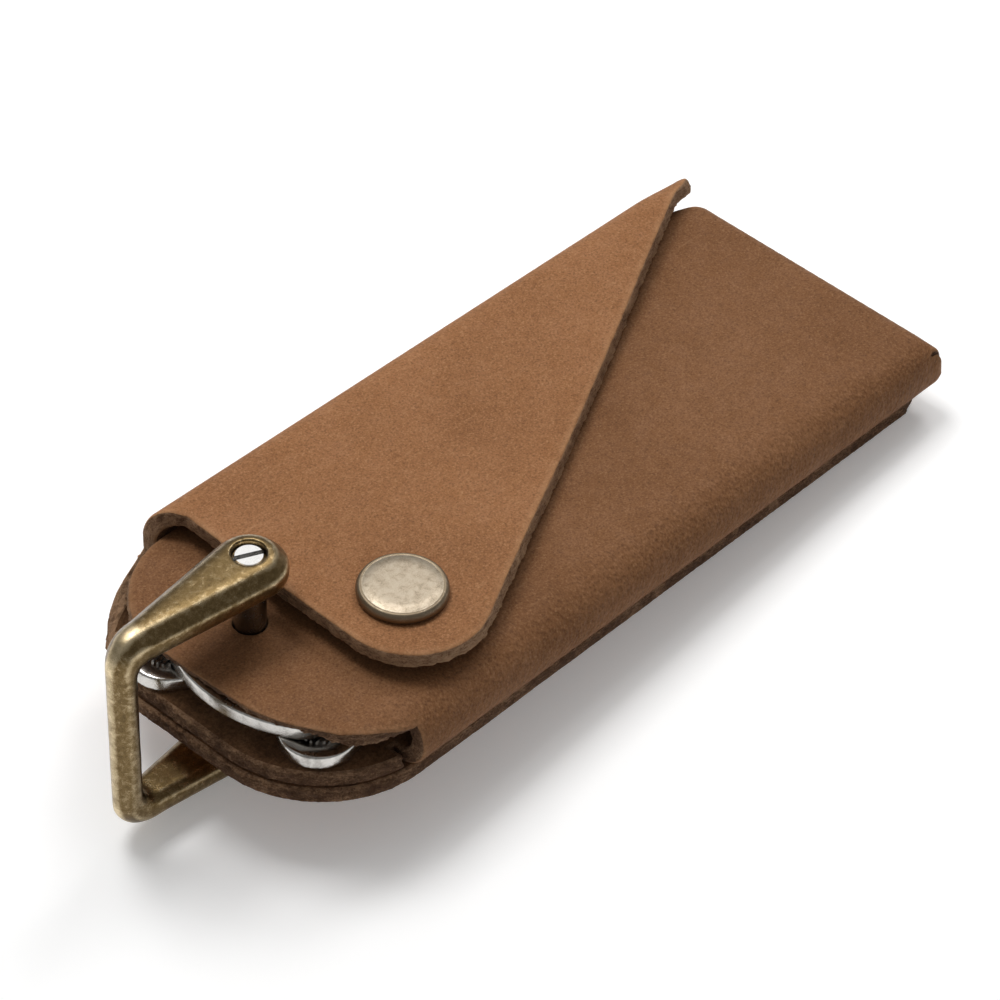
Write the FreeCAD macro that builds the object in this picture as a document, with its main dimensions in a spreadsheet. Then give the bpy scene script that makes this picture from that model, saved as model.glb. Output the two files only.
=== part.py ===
import FreeCAD, Part
import Sketcher
import math
import os

# Leather key case with a swivelling brass shackle and two keys, in millimetres.
# The origin is on the pivot axis at the underside of the shackle, +X runs along the case,
# +Y points to the flap's fold and +Z is up.

doc = FreeCAD.newDocument("key_case")
sheet = doc.addObject("Spreadsheet::Sheet", "dims")

size_list = [
    ("leather", 2.0, "thickness of the leather sheet"),
    ("key_space", 4.6, "height of the space for the keys"),
    ("flap_gap", 1.8, "height of the flap above the top panel"),
    ("lower_gap", 3.6, "gap between the lower arm and the back panel"),
    ("upper_gap", 6.2, "gap between the top panel and the upper arm"),
    ("mouth_reach", 10.0, "pivot to the mouth end of the inner panel"),
    ("end_reach", 89.8, "pivot to the outside of the end fold"),
    ("back_reach", 18.3, "pivot to the outside of the back wall"),
    ("front_reach", 23.2, "pivot to the outside of the front fold"),
    ("mouth_radius", 14.9, "front corner radius of the lower layers"),
    ("lip_radius", 16.0, "front corner radius of the top panel"),
    ("back_radius", 12.2, "back corner radius at the mouth"),
    ("lip_step", 0.4, "the mouth steps back this far from layer to layer"),
    ("wall_radius", 4.0, "outer bend radius of the back wall"),
    ("end_radius", 3.2, "outer bend radius of the end fold"),
    ("side_gap", 0.5, "gap between edges of neighbouring layers"),
    ("panel_gap", 0.2, "gap between the top panel and the back wall"),
    ("lip_inset", 1.4, "top lip stands this far inside the front fold"),
    ("inner_inset", 2.2, "inner lip stands this far inside the front fold"),
    ("back_inset", 1.9, "back panel stands this far inside the front fold"),
    ("slit_reach", 3.0, "pivot to the slit at the front fold"),
    ("slit_gap", 0.6, "width of the slit at the front fold"),
    ("fold_inset", 0.5, "front fold ends this far inside the end fold"),
    ("corner_start", 7.0, "pivot to the start of the lower back corner"),
    ("wall_start", 4.2, "pivot to the start of the lower fold"),
    ("shoulder_rise", 3.9, "height of the slope at the ends of the back wall"),
    ("crest_run", 3.4, "slope of the flap's ends over the upper fold"),
    ("tip_reach", 88.6, "pivot to the pointed end of the flap"),
    ("flap_front", 20.4, "pivot to the front edge of the flap"),
    ("flap_corner", 8.4, "corner radius of the flap at the snap"),
    ("snap_along", 12.0, "pivot to the snap along the case"),
    ("snap_across", 10.7, "pivot to the snap across the case"),
    ("cap_diameter", 10.0, "diameter of the snap cap"),
    ("cap_height", 1.3, "height of the snap cap above the flap"),
    ("cup_diameter", 6.6, "outside of the socket cup"),
    ("cup_bore", 4.3, "bore of the socket cup"),
    ("flange_diameter", 8.6, "diameter of the socket flange"),
    ("stud_diameter", 3.6, "diameter of the stud head"),
    ("post_diameter", 2.0, "diameter of the riveted posts"),
    ("sheet_metal", 0.4, "thickness of the pressed brass"),
    ("snap_clear", 0.1, "clearance between the snap pieces"),
    ("wire", 0.5, "diameter of the spring wire"),
    ("arm_thick", 4.0, "thickness of the shackle arms"),
    ("eye_radius", 4.2, "radius of the shackle eyes"),
    ("eye_clear", 0.3, "flap edge stands this far outside the eye"),
    ("bar_reach", 19.75, "pivot to the outside of the shackle bar"),
    ("bar_thick", 3.1, "thickness of the shackle bar"),
    ("neck_width", 3.2, "width of the shackle at the bar"),
    ("bend_outer", 4.2, "outer bend radius of the shackle"),
    ("bend_inner", 1.4, "inner bend radius of the shackle"),
    ("outer_chamfer", 1.2, "chamfer on the outer shackle edges"),
    ("inner_chamfer", 0.9, "chamfer on the inner shackle edges"),
    ("pin_diameter", 3.6, "diameter of the pivot pin"),
    ("pin_hole", 3.8, "hole for the pin in the upper arm"),
    ("pin_drop", 0.4, "pin end stands this far below the arm"),
    ("pin_chamfer", 0.3, "chamfer on the pin end"),
    ("tail_diameter", 3.0, "diameter of the threaded pin tail"),
    ("tail_length", 3.0, "length of the threaded pin tail"),
    ("slot_width", 0.6, "width of the screwdriver slot"),
    ("slot_depth", 0.7, "depth of the screwdriver slot"),
    ("slot_turn", 25.0, "angle of the screwdriver slot to the case"),
    ("pivot_clear", 0.3, "clearance around the pin"),
    ("key_thick", 1.9, "thickness of a key"),
    ("key_lift", 0.15, "clearance under the lower key"),
    ("key_between", 0.1, "clearance between the keys"),
    ("bow_length", 22.0, "length of a key bow"),
    ("bow_corner", 4.4, "corner radius of a key bow"),
    ("bow_dome", 18.0, "radius of the domed end of the upper bow"),
    ("bow_waist", 4.25, "depth of the waist at the end of the lower bow"),
    ("bow_rim", 1.6, "width of the raised rim of a bow"),
    ("bow_recess", 0.3, "depth of the recess in a bow"),
    ("upper_bow", 24.0, "width of the upper bow"),
    ("upper_shift", 2.5, "upper bow centre to the pin"),
    ("upper_end", 7.1, "pin to the corners of the upper bow's end"),
    ("lower_bow", 28.4, "width of the lower bow"),
    ("lower_shift", 2.5, "lower bow centre to the pin"),
    ("lower_end", 9.3, "pin to the end of the lower bow"),
    ("lower_turn", 10.9, "angle of the lower key at rest"),
    ("blade_width", 8.0, "width of a key blade"),
    ("blade_reach", 46.0, "pin to the tip of a blade"),
    ("tooth", 1.9, "depth of the deepest cut"),
    ("groove_width", 1.6, "width of the blade groove"),
    ("groove_depth", 0.6, "depth of the blade groove"),
]

for row, (alias, number, note) in enumerate(size_list, 1):
    sheet.set("A%d" % row, note)
    sheet.set("B%d" % row, str(number))
    sheet.setAlias("B%d" % row, alias)
doc.recompute()


class Size:
    # a length that carries its value and the sheet expression behind it
    def __init__(self, value, text):
        self.value = value
        self.text = text

    def __add__(self, other):
        other = as_size(other)
        return Size(self.value + other.value, "(%s + %s)" % (self.text, other.text))

    def __sub__(self, other):
        other = as_size(other)
        return Size(self.value - other.value, "(%s - %s)" % (self.text, other.text))

    def __mul__(self, other):
        other = as_size(other)
        return Size(self.value * other.value, "(%s * %s)" % (self.text, other.text))

    def __truediv__(self, other):
        other = as_size(other)
        return Size(self.value / other.value, "(%s / %s)" % (self.text, other.text))

    def __neg__(self):
        return Size(-self.value, "(0 - %s)" % self.text)


def as_size(number):
    if isinstance(number, Size):
        return number
    return Size(float(number), "(%s)" % float(number))


def root(size):
    return Size(math.sqrt(size.value), "sqrt(%s)" % size.text)


def size(alias):
    return Size(float(sheet.get(alias)), "dims." + alias)


def vector(corner):
    return FreeCAD.Vector(as_size(corner[0]).value, as_size(corner[1]).value, 0)


def bind(target, path, value):
    target.setExpression(path, as_size(value).text)


def fix_point(sketch, geo, end, corner):
    for kind, value in (("DistanceX", as_size(corner[0])), ("DistanceY", as_size(corner[1]))):
        index = sketch.addConstraint(Sketcher.Constraint(kind, -1, 1, geo, end, value.value))
        bind(sketch, "Constraints[%d]" % index, value)


def arc_between(start, finish, radius, side):
    chord = finish - start
    rise = math.sqrt(max(radius ** 2 - (chord.Length / 2) ** 2, 0))
    across = FreeCAD.Vector(-chord.y, chord.x, 0)
    across.normalize()
    if side == "right":
        across = across * -1
    centre = (start + finish) * 0.5 + across * rise
    first = math.atan2(start.y - centre.y, start.x - centre.x)
    last = math.atan2(finish.y - centre.y, finish.x - centre.x)
    ends = (1, 2)
    if side == "right":
        first, last = last, first
        ends = (2, 1)
    if last < first:
        last = last + 2 * math.pi
    circle = Part.Circle(centre, FreeCAD.Vector(0, 0, 1), radius)
    return Part.ArcOfCircle(circle, first, last), ends


def add_loop(sketch, corners):
    # a corner is (x, y), or (x, y, radius, side) when an arc leads on from it;
    # side tells where the arc's centre lies when walking along the loop
    pieces = []
    for index, corner in enumerate(corners):
        start = vector(corner)
        finish = vector(corners[(index + 1) % len(corners)])
        if len(corner) == 2:
            geo = sketch.addGeometry(Part.LineSegment(start, finish))
            pieces.append((geo, 1, 2))
        else:
            radius = as_size(corner[2])
            arc, ends = arc_between(start, finish, radius.value, corner[3])
            geo = sketch.addGeometry(arc)
            number = sketch.addConstraint(Sketcher.Constraint("Radius", geo, radius.value))
            bind(sketch, "Constraints[%d]" % number, radius)
            pieces.append((geo, ends[0], ends[1]))
    for index, corner in enumerate(corners):
        geo, first, last = pieces[index]
        geo_before, first_before, last_before = pieces[index - 1]
        sketch.addConstraint(Sketcher.Constraint("Coincident", geo_before, last_before, geo, first))
        fix_point(sketch, geo, first, corner)


def add_circle(sketch, x, y, radius):
    radius = as_size(radius)
    geo = sketch.addGeometry(Part.Circle(vector((x, y)), FreeCAD.Vector(0, 0, 1), radius.value))
    number = sketch.addConstraint(Sketcher.Constraint("Radius", geo, radius.value))
    bind(sketch, "Constraints[%d]" % number, radius)
    fix_point(sketch, geo, 3, (x, y))


def new_body(name):
    body = doc.addObject("PartDesign::Body", name)
    body.Label = name
    return body


def new_sketch(body, name, plane, lift=0):
    sketch = body.newObject("Sketcher::SketchObject", name)
    for feature in body.Origin.OriginFeatures:
        if feature.Role == plane:
            sketch.AttachmentSupport = (feature, [""])
    sketch.MapMode = "FlatFace"
    bind(sketch, "AttachmentOffset.Base.z", lift)
    return sketch


def pad(body, sketch, length, both_ways=False):
    feature = body.newObject("PartDesign::Pad", sketch.Name + "_pad")
    feature.Profile = sketch
    if both_ways:
        feature.SideType = "Symmetric"
    bind(feature, "Length", length)
    doc.recompute()
    return feature


def pocket(body, sketch, depth=None):
    feature = body.newObject("PartDesign::Pocket", sketch.Name + "_pocket")
    feature.Profile = sketch
    if depth is None:
        feature.Type = "ThroughAll"
        feature.SideType = "Symmetric"
    else:
        bind(feature, "Length", depth)
    doc.recompute()
    return feature


def turned(name, corners, sweep=360):
    # a body turned about the vertical axis from a profile of (radius, height) corners
    body = new_body(name)
    sketch = new_sketch(body, name + "_profile", "XZ_Plane")
    add_loop(sketch, corners)
    feature = body.newObject("PartDesign::Revolution", name + "_turn")
    feature.Profile = sketch
    feature.ReferenceAxis = (sketch, ["V_Axis"])
    feature.Angle = sweep
    doc.recompute()
    return body


def shift(target, x, y):
    bind(target, "Placement.Base.x", x)
    bind(target, "Placement.Base.y", y)


leather = size("leather")
side_gap = size("side_gap")
arm_thick = size("arm_thick")
mouth = -size("mouth_reach")
lip_step = size("lip_step")
back_radius = size("back_radius")
pin_radius = size("pin_diameter") / 2
pivot_hole = pin_radius + size("pivot_clear")

# heights of the layers, from the back panel up to the flap
back_low = arm_thick + size("lower_gap")
inner_low = back_low + leather
space_low = inner_low + leather
top_low = space_low + size("key_space")
top_high = top_low + leather
flap_low = top_high + size("flap_gap")
flap_high = flap_low + leather
shackle_high = top_high + size("upper_gap") + arm_thick

# lines across and along the case
wall_bend = size("wall_radius")
back = size("back_reach")
back_bend = back - wall_bend
front = -size("front_reach")
fold_radius = (top_high - inner_low) / 2
fold_middle = inner_low + fold_radius
front_bend = front + fold_radius
end = size("end_reach")
end_bend_radius = size("end_radius")
end_bend = end - end_bend_radius
slit = size("slit_reach")
corner_left = -size("corner_start")
wall_left = -size("wall_start")
flap_left = size("eye_radius") + size("eye_clear")
flap_tip = size("tip_reach") - size("crest_run")
snap_x = size("snap_along")
snap_y = -size("snap_across")
post_radius = size("post_diameter") / 2
post_hole = post_radius + size("snap_clear") / 2


def corner_drop(edge, start, radius):
    # how far a corner arc that is cut off at start reaches along the edge
    run = start - edge
    return root(radius * run * 2 - run * run)


# back panel, the outer layer on the underside
back_panel = new_body("back_panel")
sketch = new_sketch(back_panel, "back_panel_outline", "XY_Plane", back_low)
back_front = front + size("back_inset")
back_mouth = mouth - lip_step
rounding = size("mouth_radius")
add_loop(sketch, [
    (back_mouth + rounding, back_front),
    (end_bend, back_front),
    (end_bend, back_bend),
    (corner_left, back_bend, back_radius, "left"),
    (back_mouth, back_bend - corner_drop(back_mouth, corner_left, back_radius)),
    (back_mouth, back_front + rounding, rounding, "left"),
])
add_circle(sketch, 0, 0, pivot_hole)
pad(back_panel, sketch, leather)

# inner panel, the tab that the front fold turns under the keys
inner_panel = new_body("inner_panel")
sketch = new_sketch(inner_panel, "inner_panel_outline", "XY_Plane", inner_low)
inner_back = back_bend - side_gap
inner_turn = front + size("inner_inset") + rounding
add_loop(sketch, [
    (slit, inner_turn - corner_drop(mouth, slit, rounding)),
    (slit, front_bend),
    (end_bend - side_gap, front_bend),
    (end_bend - side_gap, inner_back),
    (corner_left, inner_back, back_radius, "left"),
    (mouth, inner_back - corner_drop(mouth, corner_left, back_radius)),
    (mouth, inner_turn, rounding, "left"),
])
add_circle(sketch, 0, 0, pivot_hole)
pad(inner_panel, sketch, leather)

# top panel
top_panel = new_body("top_panel")
sketch = new_sketch(top_panel, "top_panel_outline", "XY_Plane", top_low)
top_back = back - leather - size("panel_gap")
top_mouth = mouth + lip_step
lip_radius = size("lip_radius")
lip_turn = front + size("lip_inset") + lip_radius
add_loop(sketch, [
    (slit, lip_turn - corner_drop(top_mouth, slit, lip_radius)),
    (slit, front_bend),
    (end_bend, front_bend),
    (end_bend, top_back),
    (top_mouth + back_radius, top_back, back_radius, "left"),
    (top_mouth, top_back - back_radius),
    (top_mouth, lip_turn, lip_radius, "left"),
])
add_circle(sketch, 0, 0, pivot_hole)
add_circle(sketch, snap_x, snap_y, post_hole)
pad(top_panel, sketch, leather)

# front fold, half a tube that joins the top panel to the inner panel
front_fold = new_body("front_fold")
fold_start = slit + size("slit_gap")
sketch = new_sketch(front_fold, "front_fold_section", "YZ_Plane", fold_start)
inside = fold_radius - leather
add_loop(sketch, [
    (front_bend, top_high, fold_radius, "left"),
    (front, fold_middle, fold_radius, "left"),
    (front_bend, inner_low),
    (front_bend, space_low, inside, "right"),
    (front + leather, fold_middle, inside, "right"),
    (front_bend, top_low),
])
pad(front_fold, sketch, end - size("fold_inset") - fold_start)

# end fold, joins the top panel to the back panel round the far end
end_fold = new_body("end_fold")
sketch = new_sketch(end_fold, "end_fold_section", "XZ_Plane", -back_bend)
inside = end_bend_radius - leather
add_loop(sketch, [
    (end_bend, back_low, end_bend_radius, "left"),
    (end, back_low + end_bend_radius),
    (end, top_high - end_bend_radius, end_bend_radius, "left"),
    (end_bend, top_high),
    (end_bend, top_low, inside, "right"),
    (end - leather, top_high - end_bend_radius),
    (end - leather, back_low + end_bend_radius, inside, "right"),
    (end_bend, inner_low),
])
pad(end_fold, sketch, back_bend - front_bend - side_gap)

# lower fold, the bend between the back panel and the back wall
inside = wall_bend - leather
wall_low = back_low + wall_bend
wall_high = flap_high - wall_bend
wall_right = end_bend - side_gap
lower_fold = new_body("lower_fold")
sketch = new_sketch(lower_fold, "lower_fold_section", "YZ_Plane", wall_left)
add_loop(sketch, [
    (back_bend, back_low, wall_bend, "left"),
    (back, wall_low),
    (back - leather, wall_low, inside, "right"),
    (back_bend, inner_low),
])
pad(lower_fold, sketch, wall_right - wall_left)

# back wall, with sloping shoulders at the foot of both ends
back_wall = new_body("back_wall")
sketch = new_sketch(back_wall, "back_wall_outline", "XZ_Plane", -back)
crest_left = flap_left - size("crest_run")
crest_right = flap_tip + size("crest_run")
shoulder = wall_low + size("shoulder_rise")
add_loop(sketch, [
    (wall_left, wall_low),
    (wall_right, wall_low),
    (crest_right, shoulder),
    (crest_right, wall_high),
    (crest_left, wall_high),
    (crest_left, shoulder),
])
pad(back_wall, sketch, leather)

# upper fold, the bend between the back wall and the flap, with slanting ends
upper_fold = new_body("upper_fold")
sketch = new_sketch(upper_fold, "upper_fold_section", "YZ_Plane", crest_left)
add_loop(sketch, [
    (back, wall_high, wall_bend, "left"),
    (back_bend, flap_high),
    (back_bend, flap_low, inside, "right"),
    (back - leather, wall_high),
])
pad(upper_fold, sketch, crest_right - crest_left)
sketch = new_sketch(upper_fold, "upper_fold_ends", "XZ_Plane")
add_loop(sketch, [
    (crest_left, wall_high),
    (flap_left, flap_high),
    (flap_left, flap_high + leather),
    (crest_left - leather, flap_high + leather),
    (crest_left - leather, wall_high),
])
add_loop(sketch, [
    (crest_right, wall_high),
    (crest_right + leather, wall_high),
    (crest_right + leather, flap_high + leather),
    (flap_tip, flap_high + leather),
    (flap_tip, flap_high),
])
pocket(upper_fold, sketch)

# flap, a pointed tongue with a round corner under the snap
flap = new_body("flap")
sketch = new_sketch(flap, "flap_outline", "XY_Plane", flap_low)
rounding = size("flap_corner")
round_x = flap_left + rounding
round_y = rounding - size("flap_front")
run_x = flap_tip - round_x
run_y = back_bend - round_y
run_square = run_x * run_x + run_y * run_y
run_tangent = root(run_square - rounding * rounding)
along = rounding * rounding / run_square
aside = rounding * run_tangent / run_square
touch_x = round_x + run_x * along + run_y * aside
touch_y = round_y + run_y * along - run_x * aside
add_loop(sketch, [
    (flap_tip, back_bend),
    (flap_left, back_bend),
    (flap_left, round_y, rounding, "left"),
    (touch_x, touch_y),
])
add_circle(sketch, snap_x, snap_y, size("cup_diameter") / 2 + size("snap_clear"))
pad(flap, sketch, leather)

# snap: cap and socket on the flap, stud and rivet on the top panel
metal = size("sheet_metal")
clear = size("snap_clear")
cap_radius = size("cap_diameter") / 2
cup_radius = size("cup_diameter") / 2
bore = size("cup_bore") / 2
flange = size("flange_diameter") / 2
stud_radius = size("stud_diameter") / 2
cup_low = top_high + metal + clear
cup_high = flap_low + leather * 0.6
cap_high = flap_high + size("cap_height")
rim_round = size("cap_height") * 0.7
snap_cap = turned("snap_cap", [
    (0, cup_high - metal),
    (post_radius, cup_high - metal),
    (post_radius, flap_high),
    (cap_radius, flap_high),
    (cap_radius, cap_high - rim_round),
    (cap_radius - rim_round * 0.3, cap_high - rim_round * 0.3),
    (cap_radius - rim_round, cap_high),
    (cap_radius - rim_round - clear, cap_high - clear),
    (0, cap_high - clear),
])
groove_low = cup_low + metal
groove_high = groove_low + size("wire") + clear
groove_out = bore + size("wire") + clear
snap_socket = turned("snap_socket", [
    (bore, cup_low),
    (cup_radius, cup_low),
    (cup_radius, flap_low - metal),
    (flange, flap_low - metal),
    (flange, flap_low),
    (cup_radius, flap_low),
    (cup_radius, cup_high),
    (post_hole, cup_high),
    (post_hole, cup_high - metal),
    (bore, cup_high - metal),
    (bore, groove_high),
    (groove_out, groove_high),
    (groove_out, groove_low),
    (bore, groove_low),
])
stud_high = cup_high - metal - clear * 3
neck = stud_radius * 0.8
snap_stud = turned("snap_stud", [
    (post_hole, top_high),
    (flange - metal, top_high),
    (flange - metal, top_high + metal),
    (neck, top_high + metal),
    (neck, top_high + metal * 2),
    (stud_radius, top_high + metal * 3),
    (stud_radius, stud_high - metal),
    (stud_radius - metal, stud_high),
    (0, stud_high),
    (0, stud_high - metal),
    (post_hole, stud_high - metal),
])
snap_rivet = turned("snap_rivet", [
    (0, top_low - metal),
    (flange - metal, top_low - metal),
    (flange - metal, top_low),
    (post_radius, top_low),
    (post_radius, stud_high - metal),
    (0, stud_high - metal),
])
ring = bore + (size("wire") + clear) / 2
ring_middle = groove_low + (size("wire") + clear) / 2
thick = size("wire") / 2
snap_spring = turned("snap_spring", [
    (ring + thick, ring_middle),
    (ring + thick / 2, ring_middle + thick),
    (ring - thick / 2, ring_middle + thick),
    (ring - thick, ring_middle),
    (ring - thick / 2, ring_middle - thick),
    (ring + thick / 2, ring_middle - thick),
], 320)
for piece in (snap_cap, snap_socket, snap_stud, snap_rivet, snap_spring):
    shift(piece, snap_x, snap_y)

# shackle: a C in side view, cut to a drop-shaped plan, then bevelled and bored
shackle = new_body("shackle")
sketch = new_sketch(shackle, "shackle_side", "XZ_Plane")
bar_out = -size("bar_reach")
bar_in = bar_out + size("bar_thick")
eye = size("eye_radius")
outer = size("bend_outer")
inner = size("bend_inner")
arm_low = shackle_high - arm_thick
add_loop(sketch, [
    (bar_out + outer, 0),
    (eye, 0),
    (eye, arm_thick),
    (bar_in + inner, arm_thick, inner, "right"),
    (bar_in, arm_thick + inner),
    (bar_in, arm_low - inner, inner, "right"),
    (bar_in + inner, arm_low),
    (eye, arm_low),
    (eye, shackle_high),
    (bar_out + outer, shackle_high, outer, "left"),
    (bar_out, shackle_high - outer),
    (bar_out, outer, outer, "left"),
])
pad(shackle, sketch, eye * 2, both_ways=True)
sketch = new_sketch(shackle, "shackle_plan", "XY_Plane")
margin = arm_thick
half_neck = size("neck_width") / 2
reach_square = bar_out * bar_out + half_neck * half_neck
reach_tangent = root(reach_square - eye * eye)
along = eye * eye / reach_square
aside = eye * reach_tangent / reach_square
eye_x = bar_out * along + half_neck * aside
eye_y = half_neck * along - bar_out * aside
add_loop(sketch, [
    (bar_out - margin, -eye - margin),
    (eye + margin, -eye - margin),
    (eye + margin, eye + margin),
    (bar_out - margin, eye + margin),
])
add_loop(sketch, [
    (bar_out - 1, -half_neck),
    (bar_out, -half_neck),
    (eye_x, -eye_y, eye, "left"),
    (eye, 0, eye, "left"),
    (eye_x, eye_y),
    (bar_out, half_neck),
    (bar_out - 1, half_neck),
])
shaped = pocket(shackle, sketch)


def side_edges(shape, on_profile):
    # edges that bound the chosen faces, left out where two chosen faces meet
    chosen = [face for face in shape.Faces if on_profile(face)]
    names = []
    for number, edge in enumerate(shape.Edges, 1):
        owners = [face for face in chosen if any(edge.isSame(other) for other in face.Edges)]
        if len(owners) == 1:
            names.append("Edge%d" % number)
    return names


def on_outside(face):
    # faces of the C's outer line look away from the middle of the shackle
    middle = face.CenterOfMass
    normal = face.normalAt(*face.Surface.parameter(middle))
    if abs(normal.y) > 0.2:
        return False
    away = middle - FreeCAD.Vector(0, 0, shackle_high.value / 2)
    return normal.x < 0.9 and normal.dot(FreeCAD.Vector(away.x, 0, away.z)) > 0


def on_inside(face):
    middle = face.CenterOfMass
    normal = face.normalAt(*face.Surface.parameter(middle))
    if abs(normal.y) > 0.2 or normal.x > 0.99 and middle.x > 0:
        return False
    away = middle - FreeCAD.Vector(0, 0, shackle_high.value / 2)
    return normal.dot(FreeCAD.Vector(away.x, 0, away.z)) < 0


outer_edges = shackle.newObject("PartDesign::Chamfer", "shackle_outer_edges")
outer_edges.Base = (shaped, side_edges(shaped.Shape, on_outside))
bind(outer_edges, "Size", size("outer_chamfer"))
doc.recompute()
inner_edges = shackle.newObject("PartDesign::Chamfer", "shackle_inner_edges")
inner_edges.Base = (outer_edges, side_edges(outer_edges.Shape, on_inside))
bind(inner_edges, "Size", size("inner_chamfer"))
doc.recompute()
sketch = new_sketch(shackle, "shackle_upper_hole", "XY_Plane", shackle_high)
add_circle(sketch, 0, 0, size("pin_hole") / 2)
pocket(shackle, sketch, arm_thick)
sketch = new_sketch(shackle, "shackle_lower_hole", "XY_Plane", arm_thick)
tail_radius = size("tail_diameter") / 2
add_circle(sketch, 0, 0, tail_radius + clear / 5)
pocket(shackle, sketch, size("tail_length") + clear)

# pivot pin, stands with its shoulder on the lower arm
pin_high = shackle_high - size("pin_drop")
pin_edge = size("pin_chamfer")
pivot_pin = turned("pivot_pin", [
    (0, arm_thick - size("tail_length")),
    (tail_radius, arm_thick - size("tail_length")),
    (tail_radius, arm_thick),
    (pin_radius, arm_thick),
    (pin_radius, pin_high - pin_edge),
    (pin_radius - pin_edge, pin_high),
    (0, pin_high),
])
sketch = new_sketch(pivot_pin, "pin_slot", "XY_Plane", pin_high)
slot_half = size("slot_width") / 2
add_loop(sketch, [
    (-pin_radius * 2, -slot_half),
    (pin_radius * 2, -slot_half),
    (pin_radius * 2, slot_half),
    (-pin_radius * 2, slot_half),
])
pocket(pivot_pin, sketch, size("slot_depth"))
pivot_pin.Placement = FreeCAD.Placement(FreeCAD.Vector(0, 0, 0), FreeCAD.Vector(0, 0, 1), -25)
bind(pivot_pin, "Placement.Rotation.Angle", -size("slot_turn"))


def bow_end(middle, width, left, rounding, curve, waisted, inset):
    # corners of a bow's free end, from its back side round to its front side;
    # curve is the depth of a waist, or else the radius of a dome
    half = width / 2
    small = rounding - inset
    if waisted:
        lobe = half - rounding
        span = (lobe * lobe + curve * curve) / (curve * 2)
        share = small / span
        turn_x = left + rounding - (span - curve) * share
        turn_y = lobe - lobe * share
        bend = (span - rounding + inset, "right")
    else:
        turn_x = left + inset
        turn_y = half - rounding
        bend = (curve - inset, "left")
    return [
        (left + rounding, middle + half - inset, small, "left"),
        (turn_x, middle + turn_y, bend[0], bend[1]),
        (turn_x, middle - turn_y, small, "left"),
        (left + rounding, middle - half + inset),
    ]


def make_key(name, low, width, offset, reach, curve, waisted, cuts):
    body = new_body(name)
    sketch = new_sketch(body, name + "_outline", "XY_Plane", low)
    middle = -offset
    half = width / 2
    blade = size("blade_width") / 2
    rounding = size("bow_corner")
    left = -reach
    right = left + size("bow_length")
    tip = size("blade_reach")
    corners = bow_end(middle, width, left, rounding, curve, waisted, 0) + [
        (right - rounding, middle - half, rounding, "left"),
        (right, middle - half + rounding),
        (right, middle - blade),
    ]
    pitch = (tip - blade - right) / (len(cuts) + 0.6)
    slope = pitch * 0.3
    for number, cut in enumerate(cuts):
        start = right + pitch * (number + 0.5)
        depth = size("tooth") * cut
        corners.append((start, middle - blade))
        corners.append((start + slope, middle - blade + depth))
        corners.append((start + pitch * 0.9 - slope, middle - blade + depth))
        corners.append((start + pitch * 0.9, middle - blade))
    corners = corners + [
        (tip - blade, middle - blade),
        (tip, middle),
        (tip - blade * 0.6, middle + blade),
        (right, middle + blade),
        (right, middle + half - rounding, rounding, "left"),
        (right - rounding, middle + half),
    ]
    add_loop(sketch, corners)
    pad(body, sketch, size("key_thick"))
    rim = size("bow_rim")
    small = rounding - rim
    sketch = new_sketch(body, name + "_recess", "XY_Plane", low + size("key_thick"))
    add_loop(sketch, bow_end(middle, width, left, rounding, curve, waisted, rim) + [
        (right - rounding, middle - half + rim, small, "left"),
        (right - rim, middle - half + rounding),
        (right - rim, middle + half - rounding, small, "left"),
        (right - rounding, middle + half - rim),
    ])
    pocket(body, sketch, size("bow_recess"))
    sketch = new_sketch(body, name + "_slot", "XY_Plane", low + size("key_thick"))
    far = middle - offset
    add_loop(sketch, [
        (pivot_hole, far),
        (pivot_hole, 0, pivot_hole, "left"),
        (0, pivot_hole, pivot_hole, "left"),
        (-pivot_hole, 0),
        (-pivot_hole, far, pivot_hole, "left"),
        (0, far - pivot_hole, pivot_hole, "left"),
    ])
    pocket(body, sketch)
    sketch = new_sketch(body, name + "_groove", "XY_Plane", low + size("key_thick"))
    groove = size("groove_width") / 2
    add_loop(sketch, [
        (right + groove, middle + groove / 2),
        (tip + blade, middle + groove / 2),
        (tip + blade, middle + groove * 2.5),
        (right + groove, middle + groove * 2.5),
    ])
    pocket(body, sketch, size("groove_depth"))
    return body


lower_low = space_low + size("key_lift")
upper_low = lower_low + size("key_thick") + size("key_between")
upper_key = make_key("upper_key", upper_low, size("upper_bow"), size("upper_shift"), size("upper_end"),
                     size("bow_dome"), False, [0.5, 1.0, 0.4, 0.8, 0.6])
lower_key = make_key("lower_key", lower_low, size("lower_bow"), size("lower_shift"), size("lower_end"),
                     size("bow_waist"), True, [0.8, 0.4, 1.0, 0.5, 0.9])
lower_key.Placement = FreeCAD.Placement(FreeCAD.Vector(0, 0, 0), FreeCAD.Vector(0, 0, 1), 10.9)
bind(lower_key, "Placement.Rotation.Angle", size("lower_turn"))

doc.recompute()

nodes = [
    back_panel, inner_panel, top_panel, front_fold, end_fold,
    lower_fold, back_wall, upper_fold, flap,
    snap_cap, snap_socket, snap_spring, snap_stud, snap_rivet,
    shackle, pivot_pin, upper_key, lower_key,
]

for item in doc.Objects:
    if "Invalid" in item.State or "Error" in item.State:
        raise RuntimeError("%s did not build: %s" % (item.Label, item.State))
os.makedirs("parts", exist_ok=True)
for node in nodes:
    shape = node.Shape
    if shape.isNull() or not shape.isValid() or len(shape.Solids) != 1:
        raise RuntimeError("%s has a bad shape" % node.Label)
    shape.exportStep("parts/%s.step" % node.Label)
    box = shape.BoundBox
    print("%-12s %8.1f mm3  x %.2f %.2f  y %.2f %.2f  z %.2f %.2f" % (
        node.Label, shape.Volume, box.XMin, box.XMax, box.YMin, box.YMax, box.ZMin, box.ZMax))
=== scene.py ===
import math
import bpy
import numpy as np
from mathutils import Matrix, Vector, noise
from mathutils.geometry import delaunay_2d_cdt


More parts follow.
